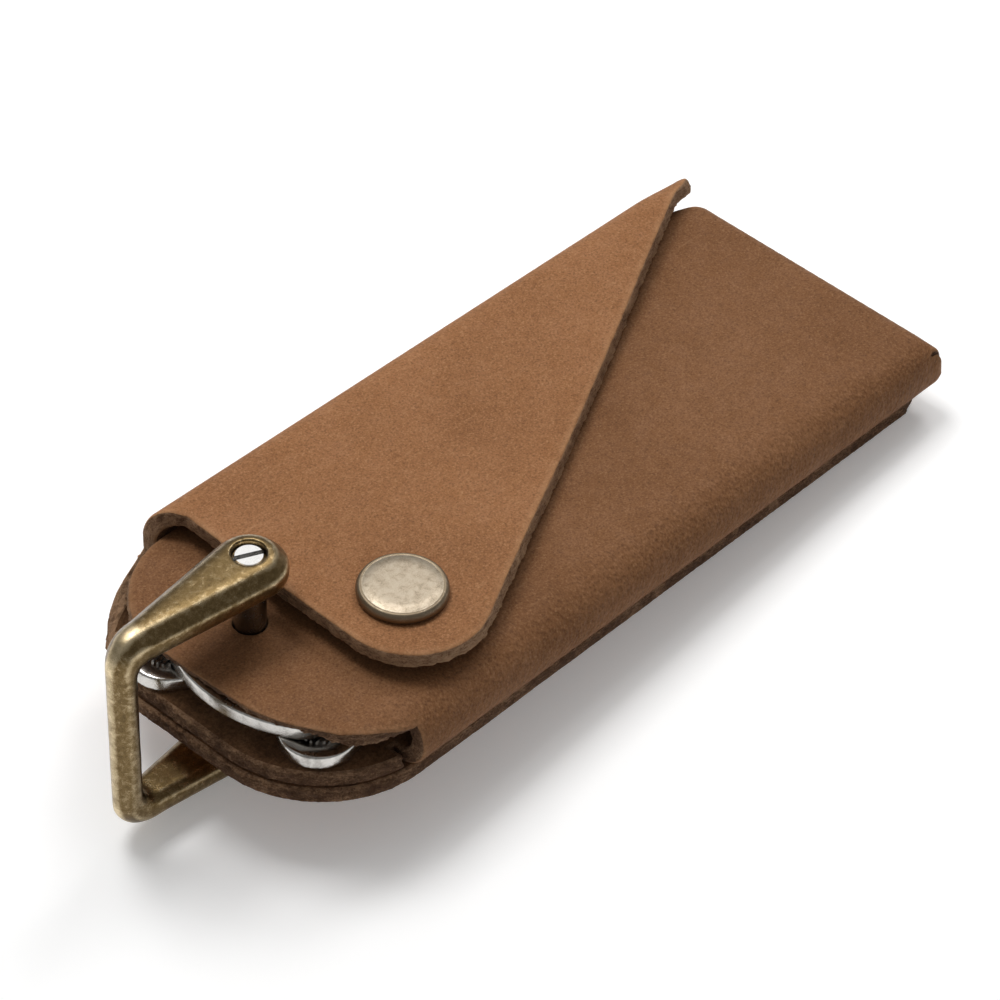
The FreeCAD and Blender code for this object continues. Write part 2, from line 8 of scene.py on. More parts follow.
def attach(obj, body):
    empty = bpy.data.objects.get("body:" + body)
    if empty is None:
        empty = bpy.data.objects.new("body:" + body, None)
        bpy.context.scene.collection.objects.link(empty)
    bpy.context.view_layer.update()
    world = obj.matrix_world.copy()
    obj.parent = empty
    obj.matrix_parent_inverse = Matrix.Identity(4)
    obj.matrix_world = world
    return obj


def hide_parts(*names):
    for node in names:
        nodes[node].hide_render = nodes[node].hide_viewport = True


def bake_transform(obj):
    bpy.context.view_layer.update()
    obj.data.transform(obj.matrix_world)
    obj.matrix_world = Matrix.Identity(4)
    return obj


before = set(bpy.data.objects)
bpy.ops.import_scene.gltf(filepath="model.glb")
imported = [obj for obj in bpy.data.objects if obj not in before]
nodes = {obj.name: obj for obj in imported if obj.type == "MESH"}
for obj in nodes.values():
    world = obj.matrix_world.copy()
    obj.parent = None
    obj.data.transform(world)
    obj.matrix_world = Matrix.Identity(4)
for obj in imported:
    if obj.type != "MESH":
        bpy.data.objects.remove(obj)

mm = 0.001
scene = bpy.context.scene
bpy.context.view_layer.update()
print("frame loaded with", len(nodes), "nodes")

# camera, set by the photo's own perspective
camera = {"turn": 48.45, "tilt": 43.18, "roll": -3.03, "lens": 124.56, "sensor": 36, "clipStart": 0.01,
          "place": (-175.25, -189.68, 278.81)}


def setCamera():
    turn, tilt, roll = (math.radians(camera[key]) for key in ("turn", "tilt", "roll"))
    right = Vector((math.cos(turn), -math.sin(turn), 0))
    level = Vector((math.sin(turn), math.cos(turn), 0))
    look = level * math.cos(tilt) - Vector((0, 0, math.sin(tilt)))
    down = look.cross(right)
    across = right * math.cos(roll) + down * math.sin(roll)
    below = down * math.cos(roll) - right * math.sin(roll)
    data = bpy.data.cameras.new("camera")
    data.sensor_width = camera["sensor"]
    data.lens = camera["lens"]
    data.clip_start = camera["clipStart"]
    eye = bpy.data.objects.new("camera", data)
    scene.collection.objects.link(eye)
    axes = Matrix((across, -below, -look)).transposed().to_4x4()
    eye.matrix_world = Matrix.Translation(Vector(camera["place"]) * mm) @ axes
    scene.camera = eye


setCamera()


# material helpers: a value that is a socket gets linked, anything else is set
def startMaterial(name):
    material = bpy.data.materials.new(name)
    material.use_nodes = True
    tree = material.node_tree
    tree.nodes.clear()
    output = tree.nodes.new("ShaderNodeOutputMaterial")
    shader = tree.nodes.new("ShaderNodeBsdfPrincipled")
    tree.links.new(shader.outputs[0], output.inputs[0])
    return material, tree, shader


def feed(tree, socket, value):
    if isinstance(value, bpy.types.NodeSocket):
        tree.links.new(value, socket)
    else:
        socket.default_value = value


def noiseNode(tree, place, scale, detail=4.0, rough=0.55, twist=0.0):
    node = tree.nodes.new("ShaderNodeTexNoise")
    feed(tree, node.inputs["Vector"], place)
    node.inputs["Scale"].default_value = scale
    node.inputs["Detail"].default_value = detail
    node.inputs["Roughness"].default_value = rough
    node.inputs["Distortion"].default_value = twist
    return node.outputs["Fac"]


def cellNode(tree, place, scale):
    node = tree.nodes.new("ShaderNodeTexVoronoi")
    feed(tree, node.inputs["Vector"], place)
    node.inputs["Scale"].default_value = scale
    return node.outputs["Distance"]


def rampNode(tree, value, stops):
    node = tree.nodes.new("ShaderNodeValToRGB")
    feed(tree, node.inputs[0], value)
    ramp = node.color_ramp
    while len(ramp.elements) < len(stops):
        ramp.elements.new(0.5)
    for element, (position, colour) in zip(ramp.elements, stops):
        element.position = position
        element.color = (*colour, 1)
    return node.outputs[0]


def rangeNode(tree, value, low, high, toLow, toHigh):
    node = tree.nodes.new("ShaderNodeMapRange")
    feed(tree, node.inputs[0], value)
    for number, level in enumerate((low, high, toLow, toHigh), 1):
        node.inputs[number].default_value = level
    return node.outputs[0]


def mathNode(tree, kind, first, second):
    node = tree.nodes.new("ShaderNodeMath")
    node.operation = kind
    feed(tree, node.inputs[0], first)
    feed(tree, node.inputs[1], second)
    return node.outputs[0]


def weighNode(tree, first, second, share):
    kept = mathNode(tree, "MULTIPLY", first, 1 - share)
    return mathNode(tree, "ADD", kept, mathNode(tree, "MULTIPLY", second, share))


def mixNode(tree, share, first, second, blend="MIX"):
    node = tree.nodes.new("ShaderNodeMix")
    node.data_type = "RGBA"
    node.blend_type = blend
    feed(tree, node.inputs[0], share)
    feed(tree, node.inputs[6], first)
    feed(tree, node.inputs[7], second)
    return node.outputs[2]


def stretchNode(tree, place, scale, turn=(0, 0, 0)):
    node = tree.nodes.new("ShaderNodeMapping")
    feed(tree, node.inputs["Vector"], place)
    node.inputs["Scale"].default_value = scale
    node.inputs["Rotation"].default_value = turn
    return node.outputs[0]


def bumpNode(tree, height, depth, strength, under=None):
    node = tree.nodes.new("ShaderNodeBump")
    feed(tree, node.inputs["Height"], height)
    node.inputs["Distance"].default_value = depth
    feed(tree, node.inputs["Strength"], strength)
    if under is not None:
        tree.links.new(under, node.inputs["Normal"])
    return node.outputs[0]


def attributeNode(tree, name):
    node = tree.nodes.new("ShaderNodeAttribute")
    node.attribute_name = name
    return node


def tone(*levels):
    # a colour as an eye sees it on screen, turned to scene light; no level here is near black
    return tuple(((level / 255 + 0.055) / 1.055) ** 2.4 for level in levels)


# leather, coloured in the coordinates of the flat cut sheet, in millimetres
leatherLook = {"dark": tone(137, 92, 57), "middle": tone(148, 101, 64), "light": tone(158, 110, 73),
               "pore": tone(84, 54, 33), "rubbed": tone(190, 145, 104), "sheenTint": tone(190, 150, 110),
               "edgeDark": tone(50, 34, 24), "edgeMiddle": tone(98, 70, 49), "edgeLight": tone(172, 136, 104),
               "fleshDark": tone(72, 48, 32), "flesh": tone(112, 80, 54), "fleshLight": tone(150, 113, 80),
               "cloudScale": 0.045, "mottleScale": 0.5, "speckleScale": 4.4, "pebbleScale": 1.9,
               "scuffStretch": (0.22, 2.6, 0.25), "scuffTurn": 0.62,
               "sleeveShade": 0.68, "shadeRun": (88, 100),
               "pebbleDepth": 0.00018, "speckleDepth": 0.00007, "mottleDepth": 0.0002,
               "specular": 0.2, "fleshSpecular": 0.15, "sheen": 0.04}


def makeGrain():
    look = leatherLook
    material, tree, shader = startMaterial("leatherGrain")
    place = attributeNode(tree, "flatPlace").outputs["Vector"]
    rim = attributeNode(tree, "rimNear").outputs["Fac"]
    bent = attributeNode(tree, "bendNear").outputs["Fac"]
    clouds = noiseNode(tree, place, look["cloudScale"], 4, 0.55, 0.5)
    mottle = noiseNode(tree, place, look["mottleScale"], 5, 0.6)
    speckle = noiseNode(tree, place, look["speckleScale"], 3, 0.62)
    rubbed = (*look["rubbed"], 1)
    colour = rampNode(tree, weighNode(tree, clouds, mottle, 0.3), [
        (0.32, look["dark"]), (0.5, look["middle"]), (0.68, look["light"])])
    colour = mixNode(tree, rangeNode(tree, speckle, 0.3, 0.5, 0.6, 0.0), colour, (*look["pore"], 1))
    colour = mixNode(tree, rangeNode(tree, speckle, 0.55, 0.74, 0.0, 0.6), colour, rubbed)
    scuffPlace = stretchNode(tree, place, look["scuffStretch"], (0, 0, look["scuffTurn"]))
    scuff = rangeNode(tree, noiseNode(tree, scuffPlace, 1.0, 3, 0.5), 0.64, 0.8, 0, 0.3)
    colour = mixNode(tree, scuff, colour, rubbed)
    patchy = rangeNode(tree, mottle, 0.35, 0.65, 0.3, 1.0)
    worn = mathNode(tree, "MULTIPLY", rangeNode(tree, rim, 0.45, 1.0, 0.0, 0.5), patchy)
    colour = mixNode(tree, worn, colour, rubbed)
    along = tree.nodes.new("ShaderNodeSeparateXYZ")
    tree.links.new(place, along.inputs[0])
    # the colour is darker over the sleeve's part of the sheet than over the back and flap
    shade = rangeNode(tree, along.outputs[0], *look["shadeRun"], look["sleeveShade"], 1.0)
    colour = mixNode(tree, 1.0, colour, shade, "MULTIPLY")
    feed(tree, shader.inputs["Base Color"], colour)
    feed(tree, shader.inputs["Roughness"], rangeNode(tree, mottle, 0.3, 0.7, 0.82, 0.68))
    shader.inputs["Specular IOR Level"].default_value = look["specular"]
    shader.inputs["Sheen Weight"].default_value = look["sheen"]
    shader.inputs["Sheen Roughness"].default_value = 0.5
    shader.inputs["Sheen Tint"].default_value = (*look["sheenTint"], 1)
    pebbles = cellNode(tree, place, look["pebbleScale"])
    normal = bumpNode(tree, pebbles, look["pebbleDepth"], rangeNode(tree, bent, 0, 1, 0.14, 0.9))
    normal = bumpNode(tree, speckle, look["speckleDepth"], 0.55, normal)
    normal = bumpNode(tree, mottle, look["mottleDepth"], 0.2, normal)
    feed(tree, shader.inputs["Normal"], normal)
    return material


def makeCutEdge(name, litEdgeRun):
    material, tree, shader = startMaterial(name)
    place = attributeNode(tree, "flatPlace").outputs["Vector"]
    layers = noiseNode(tree, stretchNode(tree, place, (0.6, 0.6, 2.4)), 1.8, 6, 0.68)
    fibres = noiseNode(tree, place, 4.5, 5, 0.7)
    patches = noiseNode(tree, place, 0.3, 4, 0.6)
    both = weighNode(tree, weighNode(tree, layers, fibres, 0.45), patches, 0.3)
    parts = tree.nodes.new("ShaderNodeSeparateXYZ")
    tree.links.new(place, parts.inputs[0])
    lift = rangeNode(tree, parts.outputs[1], *litEdgeRun, 0.0, 0.1)  # painted light: cut edges are coloured lighter towards the back, where light falls on them, while the front ones in shade keep the darker colour
    nap = rangeNode(tree, parts.outputs[2], -1.0, -0.5, 0.08, 0.0)  # raw fibres show lighter along the flesh side's rim
    both = mathNode(tree, "ADD", mathNode(tree, "ADD", both, lift), nap)
    colour = rampNode(tree, both, [
        (0.34, leatherLook["edgeDark"]), (0.5, leatherLook["edgeMiddle"]), (0.66, leatherLook["edgeLight"])])
    feed(tree, shader.inputs["Base Color"], colour)
    feed(tree, shader.inputs["Roughness"], rangeNode(tree, layers, 0.3, 0.7, 0.95, 0.75))
    shader.inputs["Specular IOR Level"].default_value = leatherLook["specular"]
    normal = bumpNode(tree, fibres, 0.0004, 0.8)
    normal = bumpNode(tree, layers, 0.0004, 0.6, normal)
    feed(tree, shader.inputs["Normal"], normal)
    return material


def makeFlesh():
    material, tree, shader = startMaterial("leatherFleshSide")
    place = attributeNode(tree, "flatPlace").outputs["Vector"]
    nap = noiseNode(tree, place, 2.4, 7, 0.75)
    clouds = noiseNode(tree, place, 0.2, 4, 0.6)
    both = weighNode(tree, nap, clouds, 0.4)
    colour = rampNode(tree, both, [
        (0.35, leatherLook["fleshDark"]), (0.52, leatherLook["flesh"]), (0.7, leatherLook["fleshLight"])])
    feed(tree, shader.inputs["Base Color"], colour)
    feed(tree, shader.inputs["Roughness"], rangeNode(tree, nap, 0.3, 0.7, 0.98, 0.85))
    shader.inputs["Specular IOR Level"].default_value = leatherLook["fleshSpecular"]
    feed(tree, shader.inputs["Normal"], bumpNode(tree, nap, 0.0005, 0.8))
    return material


leatherMaterials = [makeGrain(), makeCutEdge("leatherCutEdge", (2.0, 9.0)), makeFlesh()]
# the flap's cut edge is a lit copy of the cut-edge material, lighter all along: painted light
flapMaterials = [leatherMaterials[0], makeCutEdge("leatherFlapEdgeLit", (-40.0, -22.0)), leatherMaterials[2]]
print("leather materials ready")


# cutting a sheet: a flat outline, meshed, then bent into place point by point
def arcCorners(centreX, centreY, radius, start, end, steps=14):
    angles = [math.radians(start + (end - start) * step / steps) for step in range(steps + 1)]
    return [(centreX + radius * math.cos(angle), centreY + radius * math.sin(angle)) for angle in angles]


def walkOutline(corners, step):
    points = []
    for (x, y), (nextX, nextY) in zip(corners, corners[1:] + corners[:1]):
        count = max(1, round(math.hypot(nextX - x, nextY - y) / step))
        points += [(x + (nextX - x) * k / count, y + (nextY - y) * k / count) for k in range(count)]
    return np.array(points)


def inwardNormals(points):
    ahead = np.roll(points, -1, 0) - points
    ahead = ahead / np.maximum(np.linalg.norm(ahead, axis=1), 1e-6)[:, None]
    side = np.stack([-ahead[:, 1], ahead[:, 0]], 1)
    mean = side + np.roll(side, 1, 0)
    length = np.linalg.norm(mean, axis=1)
    return mean / np.maximum(length * length / 2, 0.8)[:, None]


def insideLoop(points, loop):
    inside = np.zeros(len(points), bool)
    for (x, y), (nextX, nextY) in zip(loop, np.roll(loop, -1, 0)):
        if y != nextY:
            crosses = (y > points[:, 1]) != (nextY > points[:, 1])
            inside ^= crosses & (points[:, 0] < (nextX - x) * (points[:, 1] - y) / (nextY - y) + x)
    return inside


def nearest(points, targets):
    distance = np.full(len(points), 1e9)
    for target in targets:
        distance = np.minimum(distance, np.hypot(points[:, 0] - target[0], points[:, 1] - target[1]))
    return distance


def smooth(low, high, value):
    share = min(1, max(0, (value - low) / (high - low)))
    return share * share * (3 - 2 * share)


def softLine(points, steps=6):
    # a smooth line through a few measured points
    line, ends = [], [points[0]] + points + [points[-1]]
    for before, here, after, later in zip(ends, ends[1:], ends[2:], ends[3:]):
        for step in range(steps):
            t = step / steps
            line.append(tuple((2 * b + (c - a) * t + (2 * a - 5 * b + 4 * c - d) * t * t
                               + (3 * b - a - 3 * c + d) * t ** 3) / 2
                              for a, b, c, d in zip(before, here, after, later)))
    return line + [points[-1]]


# rim of a cut piece, upper to lower face: inset as a share of the rim, height as a share of half thickness
rimProfile = [(1.0, 1.0), (0.45, 0.94), (0.12, 0.8), (0.0, 0.5), (0.0, 0.15), (0.0, -0.25), (0.02, -0.6),
              (0.12, -0.84), (0.45, -0.96), (1.0, -1.0)]
rimReach = {"wear": 1.6, "lean": 3}  # how far in from a rim the rubbing and a leaning cut are felt
frayNoise = {"spread": (1.3, 1.3, 1.6), "waves": [(0.8, 0.7), (0.9, 1.7), (0.45, 3.1)]}  # waves: size, rate
leatherCut = {"thick": 2.0, "rim": 0.42, "step": 0.24, "grid": 0.9, "fray": 0.19, "slot": "leather",
              "materials": leatherMaterials, "mouthFray": 0.8}
seamNear = 0.01  # a point this close to a seam's line is on it


def frayDepth(x, y, height):
    spreadX, spreadY, spreadZ = frayNoise["spread"]
    spot = Vector((x * spreadX, y * spreadY, height * spreadZ))
    return sum(size * noise.noise(spot * rate) for size, rate in frayNoise["waves"])


def cutSheet(name, corners, holes, bendPoint, cut, flip=False, seam=None, flatOf=None, bentAt=None,
             frayAt=None, leanAt=None):
    half, rim = cut["thick"] / 2, cut["rim"]
    loops = [walkOutline(corners, cut["step"])] + [walkOutline(hole, cut["step"]) for hole in holes]
    soft, inner = [], []
    for loop in loops:
        rounding = np.full(len(loop), rim)
        if seam is not None:
            rounding = np.array([0.0 if seam(x, y) else rim for x, y in loop])
        soft.append((loop, inwardNormals(loop), rounding))
        inner.append(loop + soft[-1][1] * rounding[:, None])
    low, high = loops[0].min(0), loops[0].max(0)
    grid = cut["grid"]
    rows = np.arange(low[1], high[1], grid * 0.866)
    spots = np.array([(x + (grid / 2 if number % 2 else 0), y) for number, y in enumerate(rows)
                      for x in np.arange(low[0], high[0], grid)])
    spots = spots[insideLoop(spots, inner[0])]
    for loop in inner[1:]:
        spots = spots[~insideLoop(spots, loop)]
    spots = spots[nearest(spots, np.concatenate(inner)) > grid * 0.5]
    flat = np.concatenate(inner + [spots])
    edges, start = [], 0
    for loop in inner:
        edges += [(start + k, start + (k + 1) % len(loop)) for k in range(len(loop))]
        start += len(loop)
    made = delaunay_2d_cdt([Vector(point) for point in flat], edges, [], 1, 1e-7)
    cap = np.array([tuple(point) for point in made[0]])
    slotOf = {}
    for index, sources in enumerate(made[3]):
        for source in sources:
            slotOf[source] = index
    triangles = np.array(made[2])
    middles = cap[triangles].mean(1)
    keep = np.ones(len(triangles), bool)
    for loop in inner[1:]:
        keep &= ~insideLoop(middles, loop)
    triangles = triangles[keep]
    cutRim = loops[0][soft[0][2] > 0]  # without the seams, which aren't rubbed
    rimNear = np.clip(1 - nearest(cap, cutRim) / rimReach["wear"], 0, 1)
    verts, place, near, bent = [], [], [], []

    def addPoint(x, y, height, nearness):
        verts.append(bendPoint(x, y, height))
        place.append((*(flatOf(x, y) if flatOf else (x, y)), height))
        near.append(nearness)
        bent.append(bentAt(x, y) if bentAt else 0.0)
        return len(verts) - 1

    topOf = [addPoint(x, y, half, value) for (x, y), value in zip(cap, rimNear)]
    lowCap = cap.copy()
    if leanAt:
        # a leaning cut: the lower face ends further in or out than the upper one
        run = rimReach["lean"]
        for index in np.flatnonzero(nearest(cap, loops[0]) < rim + run):
            gap = np.hypot(*(loops[0] - cap[index]).T)
            rimAt = gap.argmin()
            lean = leanAt(*loops[0][rimAt]) if soft[0][2][rimAt] else 0.0
            lowCap[index] += soft[0][1][rimAt] * lean * min(1, max(0, 1 - (gap[rimAt] - rim) / run))
    lowOf = [addPoint(x, y, -half, value) for (x, y), value in zip(lowCap, rimNear)]
    faces, finish = [], []
    for a, b, c in triangles:
        faces.append((topOf[a], topOf[b], topOf[c]))
        faces.append((lowOf[c], lowOf[b], lowOf[a]))
        finish += [0, 2]
    start = 0
    for loop, inward, rounding in soft:
        count = len(loop)
        rings = [[topOf[slotOf[start + k]] for k in range(count)]]
        for inset, height in rimProfile[1:-1]:
            ring = []
            for (x, y), (sideX, sideY), size in zip(loop, inward, rounding):
                coarse = frayAt(x) if frayAt else 1.0
                fray = cut["fray"] * coarse * smooth(1.0, 0.3, height) if size else 0.0
                lean = leanAt(x, y) * (1 - height) / 2 if leanAt and size else 0.0
                depth = inset * size + lean - fray * frayDepth(x, y, height)
                outX, outY = x + sideX * depth, y + sideY * depth
                ring.append(addPoint(outX, outY, half * height, 1.0 if size else 0.0))
            rings.append(ring)
        rings.append([lowOf[slotOf[start + k]] for k in range(count)])
        for level, (upper, lower) in enumerate(zip(rings, rings[1:])):
            for k in range(count):
                after = (k + 1) % count
                faces.append((upper[k], lower[k], lower[after], upper[after]))
                finish.append(0 if level < 2 else 1)
        start += count
    if flip:
        faces = [face[::-1] for face in faces]
    mesh = bpy.data.meshes.new(name)
    mesh.from_pydata([Vector(point) * mm for point in verts], [], faces)
    for material in cut["materials"]:
        mesh.materials.append(material)
    mesh.polygons.foreach_set("material_index", finish)
    flatPlace = mesh.attributes.new("flatPlace", "FLOAT_VECTOR", "POINT")
    flatPlace.data.foreach_set("vector", np.array(place, np.float32).ravel())
    addValues(mesh, "rimNear", near)
    addValues(mesh, "bendNear", bent)
    mesh.polygons.foreach_set("use_smooth", [True] * len(faces))
    mesh.set_sharp_from_angle(angle=math.radians(50))
    return placePiece(name, mesh, len(faces))


def addValues(mesh, name, values):
    mesh.attributes.new(name, "FLOAT", "POINT").data.foreach_set("value", np.array(values, np.float32))


def placePiece(name, mesh, count):
    piece = bpy.data.objects.new(name, mesh)
    scene.collection.objects.link(piece)
    print(name, "has", count, "faces")
    return piece


def ripple(x, y, size, seed):
    slow, quick = Vector((x / 13, y / 13, seed)), Vector((x / 5, y / 5, seed + 3))
    return size * noise.noise(slow) + size * 0.4 * noise.noise(quick)


# sleeve: inner layer, front bend, top panel and end bend, one piece of leather
sleeve = {"frontBend": -18.9, "endBend": 86.6, "frontRadius": 3.3, "endRadius": 2.2, "endRise": 4.2,
          "topMiddle": 17.2, "slit": 2.3, "slitWidth": 0.6, "cornerRow": -22.2, "stripBack": 14.3,
          "innerBack": 13.8, "innerShort": 0.5,
          "lip": [(-9.6, 6.0), (-9.66, 3.4), (-9.4, -1.5), (-8.95, -8.2), (-8.2, -11.6), (-6.8, -14.6),
                  (-4.6, -18.2), (-2.4, -20.0), (0.0, -21.1), (2.3, -21.7)],
          "lipBack": (2.6, 3.9, 12.2, 90, 165),
          "inner": (4.9, -6.1, 14.9), "innerCorner": (1.8, 5.788, 12.2, 180, 138.95),
          # rows counted from the front bend's lower line, then from cornerRow
          "foldCorner": [(87.0, 0.4), (88.3, 1.2), (89.3, 2.2), (89.8, 3.2)],
          "stripCorner": [(89.8, -2.3), (89.1, -1.5), (88.2, -1.0), (87.6, -0.75), (87.6, -0.55),
                          (88.6, -0.45), (90.3, -0.5), (91.8, -0.5), (92.6, 0.2), (93.2, 1.8),
                          (95.0, 2.6), (96.3, 1.6)],
          "seamCorner": 1.2,
          "stripSide": [(92.5, 14.1), (90.0, 13.6), (88.6, 13.6), (87.5, 14.15), (86.6, 14.65), (85.4, 15.1),
                        (83.5, 15.6), (80.0, 16.1)],
          "hole": 1.87, "wave": 0.13, "waveSeed": 1.0, "square": 0.34, "squareFrom": 70, "droop": 0.08,
          "lipLean": 1.1, "lipFade": (2.6, -4), "cornerFade": (2.6, 0.6)}
frontTurn = math.pi * sleeve["frontRadius"]
endTurn = math.pi * sleeve["endRadius"] / 2
endLength = endTurn * 2 + sleeve["endRise"]


def innerRow(y):
    return 2 * sleeve["frontBend"] - frontTurn - y


def frontArc(x, run, n):
    # the bend is round at the mouth and squarer towards the closed end
    s = sleeve
    angle = run / s["frontRadius"]
    reach = s["frontRadius"] + n
    side, rise = math.sin(angle), math.cos(angle)
    if rise > 0:
        power = 1 - s["square"] * smooth(s["squareFrom"], s["endBend"], x)
        side, rise = side ** power, rise ** power
    return s["frontBend"] - reach * side, s["topMiddle"] - s["frontRadius"] + reach * rise


def endArc(past, n):
    s = sleeve
    radius, start, middle = s["endRadius"], s["endBend"], s["topMiddle"]
    if past < endTurn:
        angle = past / radius
        return start + (radius + n) * math.sin(angle), middle - radius + (radius + n) * math.cos(angle)
    if past < endTurn + s["endRise"]:
        return start + radius + n, middle - radius - (past - endTurn)
    angle = (past - endTurn - s["endRise"]) / radius
    low = middle - radius - s["endRise"]
    return start + (radius + n) * math.cos(angle), low - (radius + n) * math.sin(angle)


def sleevePoint(x, y, n):
    s = sleeve
    bend, middle = s["frontBend"], s["topMiddle"]
    wave = ripple(x, y, s["wave"], s["waveSeed"])
    past, run = x - s["endBend"], bend - y
    if run < 0:
        if past > 0:
            endX, endZ = endArc(past, n)
            return (endX, y, endZ)
        fade = smooth(0, 5, -run) * smooth(0, 5, -past)
        return (x, y, middle + n + wave * fade)
    under = (x, bend + run - frontTurn, middle - 2 * s["frontRadius"] - n)
    if run > frontTurn or x < s["slit"] + s["slitWidth"] / 2 and run > frontTurn / 2:
        return under
    if past > 0:
        # the closed end's corner: the strip over the end bends away from the front bend
        share = smooth(*(s["cornerRow"] - below for below in s["cornerFade"]), y)
        tilt = n * (1 - smooth(0, 1.5, past) * share)
        arcY, arcZ = frontArc(x, run, tilt)
        endX, endZ = endArc(past, n)
        straight = share * (0.9 * smooth(0, 2, past) + 0.1 * smooth(3, 6, past))
        arcY, arcZ = arcY + (y - arcY) * straight, arcZ + (middle + tilt - arcZ) * straight
        return (x + (endX - x) * share, arcY, arcZ + (endZ - middle - tilt) * share)
    arcY, arcZ = frontArc(x, run, n + wave * math.sin(run / s["frontRadius"]) * 0.6)
    lipShare = smooth(*s["lipFade"], x)
    lipZ = middle + n - s["droop"] * run * run
    return (x, arcY + (y - arcY) * lipShare, arcZ + (lipZ - arcZ) * lipShare)


def sleeveBent(x, y):
    run = sleeve["frontBend"] - y
    return smooth(-3, 3, run) * smooth(frontTurn, frontTurn - 4, run)


def mouthFray(x):
    # cut edges are rougher at the mouth
    return 1.0 + leatherCut["mouthFray"] * smooth(4, -4, x)


def sleeveLean(x, y):
    # the lip of the mouth is cut under
    return sleeve["lipLean"] * smooth(-3.5, -6.5, x) * smooth(9, 5, y) if y > -23 else 0.0


def buildSleeve():
    s = sleeve
    slitIn, slitOut, corner = s["slit"], s["slit"] + s["slitWidth"], s["cornerRow"]
    under, seamAt = s["frontBend"] - frontTurn, s["endBend"] + endLength
    right = s["endBend"] - s["innerShort"]
    start = 360 - math.degrees(math.acos((slitIn - s["inner"][0]) / s["inner"][2]))
    corners = [(slitOut, s["lip"][-1][1]), (slitOut, under), (slitIn, under)]
    corners += [(x, innerRow(y)) for x, y in arcCorners(*s["inner"], start, 180, 24)]
    corners += [(x, innerRow(y)) for x, y in arcCorners(*s["innerCorner"])]
    corners += [(right, innerRow(s["innerBack"])), (right, under)]
    corners += [(x, under + up) for x, up in s["foldCorner"]]
    corners += [(x, corner + up) for x, up in s["stripCorner"]]
    corners += [(seamAt, corner + s["seamCorner"]), (seamAt, s["stripBack"])]
    corners += s["stripSide"]
    corners += arcCorners(*s["lipBack"])
    corners += softLine(s["lip"])
    hole = arcCorners(0, 0, s["hole"], 360, 0, 24)[:-1]
    holes = [hole, [(x, innerRow(-y)) for x, y in hole]]
    piece = cutSheet("leatherSleeve", corners, holes, sleevePoint, leatherCut,
                     seam=lambda x, y: x > seamAt - seamNear,
                     bentAt=sleeveBent, frayAt=mouthFray, leanAt=sleeveLean)
    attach(piece, "case")
    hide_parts("top_panel", "front_fold", "inner_panel", "end_fold")


buildSleeve()

# back sheet: outer layer underneath, its bend and the lower half of the back wall
backSheet = {"bend": 14.3, "radius": 3.0, "low": 8.6, "wallMiddle": 14.8, "wallStart": 11.6, "front": -21.3,
             "cornerRadius": 0.3, "wave": 0.1, "waveSeed": 7.0,
             "frontCorner": (4.5, -6.4, 14.9, 180, 270, 24), "backCorner": (1.25, 5.85, 12.2, 136.2, 180),
             "leftEnd": [(0.4, 22.21), (-1.8, 20.31), (-3.3, 18.7), (-4.8, 17.35), (-7.35, 14.83)],
             "wallRight": 86.1, "wallRise": 0.2}
wallTurn = math.pi * backSheet["radius"] / 2
wallRun = backSheet["wallMiddle"] - backSheet["wallStart"]


def flatBack(x, y):
    return (sleeve["endBend"] * 2 + endLength - x, y)


def backPoint(x, y, n):
    s = backSheet
    if y < s["bend"]:
        fade = smooth(0, 5, s["bend"] - y) * smooth(0, 5, sleeve["endBend"] - x)
        return (x, y, s["low"] - n + ripple(x, y, s["wave"], s["waveSeed"]) * fade)
    run = y - s["bend"]
    if run < wallTurn:
        angle, reach = run / s["radius"], s["radius"] + n
        return (x, s["bend"] + reach * math.sin(angle), s["wallStart"] - reach * math.cos(angle))
    return (x, s["bend"] + s["radius"] + n, s["wallStart"] + run - wallTurn)


def buildBack():
    s = backSheet
    topRow = s["bend"] + wallTurn + wallRun
    right, corner = sleeve["endBend"], s["cornerRadius"]
    corners = arcCorners(right - corner, s["front"] + corner, corner, 270, 360, 6)
    corners += [(right, s["bend"]), (s["wallRight"], s["bend"] + s["wallRise"]), (s["wallRight"], topRow)]
    corners += s["leftEnd"]
    corners += arcCorners(*s["backCorner"])
    corners += arcCorners(*s["frontCorner"])
    holes = [arcCorners(0, 0, sleeve["hole"], 360, 0, 24)[:-1]]
    piece = cutSheet("leatherBack", corners, holes, backPoint, leatherCut, flip=True,
                     seam=lambda x, y: x > right - seamNear and y > s["front"] + corner or y > topRow - seamNear,
                     flatOf=flatBack, frayAt=mouthFray)
    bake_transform(piece)
    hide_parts("back_panel", "lower_fold", "back_wall")


buildBack()

# flap sheet: upper half of the back wall, the bend and the pointed flap
flapSheet = {"bend": 14.3, "radius": 3.0, "high": 21.0, "wallTop": 18.0,
             "left": 3.55, "corner": 8.6, "front": -20.4, "tip": (84.0, 14.6),
             "tipEdge": [(83.5, 14.35), (84.9, 14.8), (86.2, 15.2), (87.2, 15.6), (88.0, 16.0), (88.1, 16.5),
                         (87.6, 17.6), (86.9, 18.9), (86.4, 20.1), (86.1, 21.2)],
             "crestLeft": 1.1, "crestDrop": 0.7, "crestEdge": [(1.75, 17.0), (2.75, 15.2)], "leftTop": 13.6,
             "snap": (12.0, -10.7), "sag": 1.15, "dish": 0.25, "wave": 0.15, "waveSeed": 11.0,
             "cutLean": -0.4, "tipDrop": 0.42}


